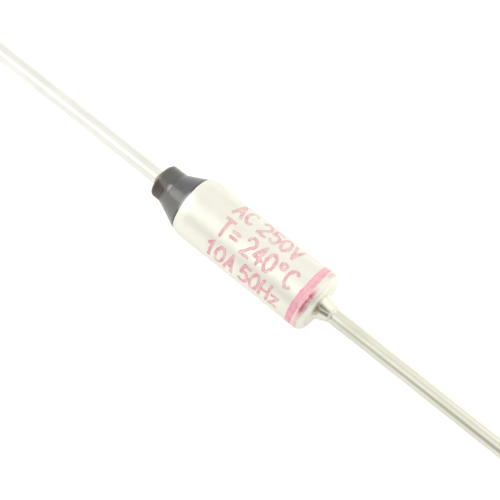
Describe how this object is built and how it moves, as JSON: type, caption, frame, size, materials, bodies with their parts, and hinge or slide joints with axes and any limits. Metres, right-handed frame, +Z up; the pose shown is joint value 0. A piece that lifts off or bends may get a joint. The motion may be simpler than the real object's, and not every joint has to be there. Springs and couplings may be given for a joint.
{
  "type": "thermal fuse",
  "caption": "Axial thermal fuse: round metal case with a resin-sealed mouth, a closed end and a straight wire lead at each end; it opens a circuit for good when the pellet inside melts.",
  "frame": {"origin": "on the axis of the fuse, midway along the metal case", "axes": "+X along the axis towards the closed end and the case lead, +Z up as it lies on a table"},
  "size_m": [0.0675, 0.004, 0.004],
  "materials": {
    "plated_case": "silver plated, satin",
    "tinned_wire": "bright tinned copper",
    "dark_ceramic": "dark, semi-gloss",
    "sealing_resin": "dark grey, glossy",
    "amber_resin": "brown, glossy",
    "pellet_compound": "pressed organic compound, matt",
    "disk_metal": "plain rolled sheet",
    "spring_steel": "drawn wire",
    "contact_alloy": "silver alloy, bright"
  },
  "bodies": {
    "root": {"case": "plated_case", "case_lead": "tinned_wire", "isolated_lead": "tinned_wire", "ceramic_bushing": "dark_ceramic", "resin_seal": "sealing_resin", "lead_bead": "amber_resin", "thermal_pellet": "pellet_compound", "pellet_disk": "disk_metal", "main_spring": "spring_steel", "spring_disk": "disk_metal", "star_contact": "contact_alloy", "trip_spring": "spring_steel"}
  },
  "joints": []
}
